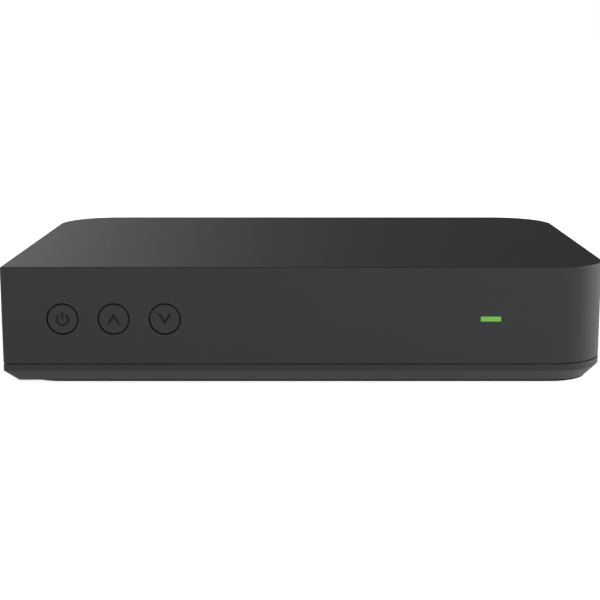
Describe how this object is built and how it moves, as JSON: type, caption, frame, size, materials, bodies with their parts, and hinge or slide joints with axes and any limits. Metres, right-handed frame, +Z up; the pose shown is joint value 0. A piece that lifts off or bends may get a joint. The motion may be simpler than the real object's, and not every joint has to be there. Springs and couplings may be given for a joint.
{
  "type": "satellite tv receiver",
  "caption": "Low rectangular set-top receiver with one sharp and three rounded corners, flush round push buttons, a lit bar indicator and rear sockets.",
  "frame": {"origin": "under the middle of the whole object, on the plane that its feet stand on", "axes": "+X to the right of someone who faces the front, +Y from the front to the rear sockets, +Z up"},
  "size_m": [0.168, 0.122, 0.033],
  "materials": {
    "housing_plastic": "fine-textured charcoal moulding",
    "tray_plastic": "fine-textured charcoal moulding",
    "button_plastic": "fine-textured charcoal moulding with a dark printed symbol",
    "panel_paint": "matt black coat on sheet steel",
    "foot_rubber": "matt black rubber",
    "screw_steel": "blackened steel",
    "board_laminate": "green solder mask",
    "gilt_contact": "thin gilt finish",
    "black_moulding": "black moulded insulator",
    "indicator_lens": "lit green light guide",
    "lamp_body": "pale lamp package",
    "receiver_resin": "dark infrared resin",
    "nickel_plate": "nickel plated",
    "white_insulator": "white insulator",
    "orange_insulator": "orange insulator",
    "tin_plate": "tinned sheet",
    "chip_resin": "moulded epoxy",
    "thermal_rubber": "soft grey pad",
    "sink_aluminium": "extruded, plain finish",
    "capacitor_can": "dark sleeved can",
    "choke_ferrite": "sintered ferrite",
    "plunger_plastic": "black moulded plunger"
  },
  "bodies": {
    "case": {"upper_housing": "housing_plastic", "base_tray": "tray_plastic", "rear_panel": "panel_paint", "foot_front_left": "foot_rubber", "foot_front_right": "foot_rubber", "foot_rear_left": "foot_rubber", "foot_rear_right": "foot_rubber", "housing_screws": "screw_steel", "main_board_screws": "screw_steel", "front_board_screws": "screw_steel", "main_board": "board_laminate", "front_board": "board_laminate", "board_link_pins": "gilt_contact", "board_link_strip": "black_moulding", "indicator_window": "indicator_lens", "indicator_lamp": "lamp_body", "infrared_receiver": "receiver_resin", "aerial_connector": "nickel_plate", "aerial_insulator": "white_insulator", "aerial_contact": "gilt_contact", "aerial_nut": "nickel_plate", "tuner_shield_frame": "tin_plate", "tuner_shield_lid": "tin_plate", "audio_socket_housing": "black_moulding", "audio_socket_collar": "nickel_plate", "audio_socket_insulator": "orange_insulator", "video_socket_shell": "nickel_plate", "video_socket_tongue": "black_moulding", "data_socket_shell": "nickel_plate", "data_socket_tongue": "black_moulding", "audio_video_jack": "black_moulding", "power_socket_housing": "black_moulding", "power_socket_pin": "nickel_plate", "processor": "chip_resin", "thermal_pad": "thermal_rubber", "heat_sink": "sink_aluminium", "memory_chip": "chip_resin", "flash_chip": "chip_resin", "voltage_regulator": "chip_resin", "crystal": "tin_plate", "supply_capacitors": "capacitor_can", "supply_choke": "choke_ferrite", "aerial_supply_choke": "choke_ferrite", "power_switch_body": "black_moulding", "channel_up_switch_body": "black_moulding", "channel_down_switch_body": "black_moulding"},
    "power_button": {"power_button_cap": "button_plastic", "power_switch_plunger": "plunger_plastic"},
    "channel_up_button": {"channel_up_button_cap": "button_plastic", "channel_up_switch_plunger": "plunger_plastic"},
    "channel_down_button": {"channel_down_button_cap": "button_plastic", "channel_down_switch_plunger": "plunger_plastic"}
  },
  "joints": [
    {"name": "power_button_press", "type": "slide", "parent": "case", "child": "power_button", "axis": [0, 1, 0], "range_m": [0, 0.0005], "stiffness_N_per_m": 3000},
    {"name": "channel_up_button_press", "type": "slide", "parent": "case", "child": "channel_up_button", "axis": [0, 1, 0], "range_m": [0, 0.0005], "stiffness_N_per_m": 3000},
    {"name": "channel_down_button_press", "type": "slide", "parent": "case", "child": "channel_down_button", "axis": [0, 1, 0], "range_m": [0, 0.0005], "stiffness_N_per_m": 3000}
  ]
}
